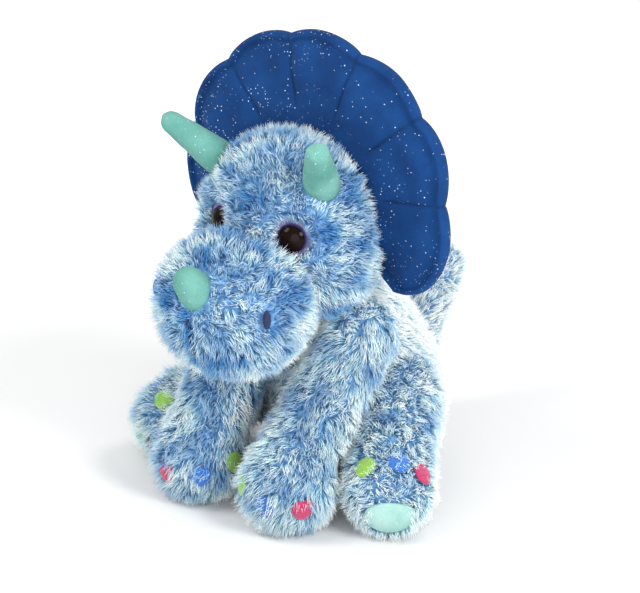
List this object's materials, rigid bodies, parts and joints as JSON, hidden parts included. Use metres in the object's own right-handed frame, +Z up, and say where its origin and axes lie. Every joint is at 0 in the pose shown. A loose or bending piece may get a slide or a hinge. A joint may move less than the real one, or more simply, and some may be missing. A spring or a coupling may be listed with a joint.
{
  "type": "stuffed dinosaur",
  "caption": "Seated plush three-horned dinosaur with frosted pile, velour horns and a scalloped padded frill that flexes with its head, legs and tail.",
  "frame": {"origin": "on the surface that the toy sits on, under the middle of its bounding box", "axes": "+Z up; the toy faces -Y and its own left is +X"},
  "size_m": [0.228, 0.288, 0.2951],
  "materials": {
    "frosted_plush": "long frosted pile, blue roots and pale tips",
    "fibre_fill": "loose polyester fibre",
    "bag_cloth": "plain woven cloth",
    "pellets": "small plastic pellets",
    "mint_velour": "short velour with fine metallic specks",
    "royal_velour": "short velour with silver foil dots",
    "washer_plastic": "moulded lock washer",
    "eye_ring": "pearly coloured disc",
    "eye_plastic": "polished dark dome",
    "green_felt": "felt",
    "blue_felt": "felt",
    "pink_felt": "felt",
    "stitch_thread": "sewing thread"
  },
  "bodies": {
    "torso": {"torso_cover": "frosted_plush", "torso_stuffing": "fibre_fill", "bean_bag": "bag_cloth", "bean_bag_pellets": "pellets"},
    "neck": {"neck_band": "frosted_plush"},
    "head": {"head_cover": "frosted_plush", "head_stuffing": "fibre_fill", "muzzle_cover": "frosted_plush", "muzzle_stuffing": "fibre_fill", "muzzle_seam": "stitch_thread", "nostril_stitch_left": "stitch_thread", "nostril_stitch_right": "stitch_thread", "eye_left": "eye_plastic", "eye_right": "eye_plastic", "eye_ring_left": "eye_ring", "eye_ring_right": "eye_ring", "eye_washer_left": "washer_plastic", "eye_washer_right": "washer_plastic", "brow_horn_left": "mint_velour", "brow_horn_right": "mint_velour", "brow_horn_stuffing_left": "fibre_fill", "brow_horn_stuffing_right": "fibre_fill", "nose_horn": "mint_velour", "nose_horn_stuffing": "fibre_fill"},
    "frill": {"frill_front": "royal_velour", "frill_back": "royal_velour", "frill_batting": "fibre_fill"},
    "foreleg_left": {"foreleg_cover_left": "frosted_plush", "foreleg_stuffing_left": "fibre_fill", "foreleg_inner_toe_left": "green_felt", "foreleg_middle_toe_left": "blue_felt", "foreleg_outer_toe_left": "pink_felt"},
    "hind_leg_left": {"hind_leg_cover_left": "frosted_plush", "hind_leg_stuffing_left": "fibre_fill", "sole_pad_left": "mint_velour", "hind_inner_toe_left": "green_felt", "hind_middle_toe_left": "blue_felt", "hind_outer_toe_left": "pink_felt"},
    "foreleg_right": {"foreleg_cover_right": "frosted_plush", "foreleg_stuffing_right": "fibre_fill", "foreleg_inner_toe_right": "green_felt", "foreleg_middle_toe_right": "blue_felt", "foreleg_outer_toe_right": "pink_felt"},
    "hind_leg_right": {"hind_leg_cover_right": "frosted_plush", "hind_leg_stuffing_right": "fibre_fill", "sole_pad_right": "mint_velour", "hind_inner_toe_right": "green_felt", "hind_middle_toe_right": "blue_felt", "hind_outer_toe_right": "pink_felt"},
    "tail": {"tail_cover": "frosted_plush", "tail_stuffing": "fibre_fill"}
  },
  "joints": [
    {"name": "head_turn", "type": "hinge", "parent": "torso", "child": "neck", "pos_m": [0, -0.046, 0.18], "axis": [0, 0, 1], "range_deg": [-12, 12], "stiffness_Nm_per_rad": 2.5},
    {"name": "head_nod", "type": "hinge", "parent": "neck", "child": "head", "pos_m": [0, -0.046, 0.18], "axis": [-1, 0, 0], "range_deg": [-4, 12], "stiffness_Nm_per_rad": 2.5},
    {"name": "frill_flex", "type": "hinge", "parent": "head", "child": "frill", "pos_m": [0, -0.046, 0.18], "axis": [-1, 0, 0], "range_deg": [-6, 10], "stiffness_Nm_per_rad": 1},
    {"name": "foreleg_left_swing", "type": "hinge", "parent": "torso", "child": "foreleg_left", "pos_m": [0.042, -0.024, 0.108], "axis": [-1, 0, 0], "range_deg": [-3, 14], "stiffness_Nm_per_rad": 2},
    {"name": "foreleg_right_swing", "type": "hinge", "parent": "torso", "child": "foreleg_right", "pos_m": [-0.042, -0.024, 0.108], "axis": [-1, 0, 0], "range_deg": [-3, 14], "stiffness_Nm_per_rad": 2},
    {"name": "hind_leg_left_swing", "type": "hinge", "parent": "torso", "child": "hind_leg_left", "pos_m": [0.048, 0.008, 0.054], "axis": [-1, 0, 0], "range_deg": [-4, 14], "stiffness_Nm_per_rad": 2},
    {"name": "hind_leg_right_swing", "type": "hinge", "parent": "torso", "child": "hind_leg_right", "pos_m": [-0.048, 0.008, 0.054], "axis": [-1, 0, 0], "range_deg": [-4, 14], "stiffness_Nm_per_rad": 2},
    {"name": "tail_wag", "type": "hinge", "parent": "torso", "child": "tail", "pos_m": [0, 0.076, 0.052], "axis": [0, 0, 1], "range_deg": [-20, 20], "stiffness_Nm_per_rad": 0.8}
  ]
}
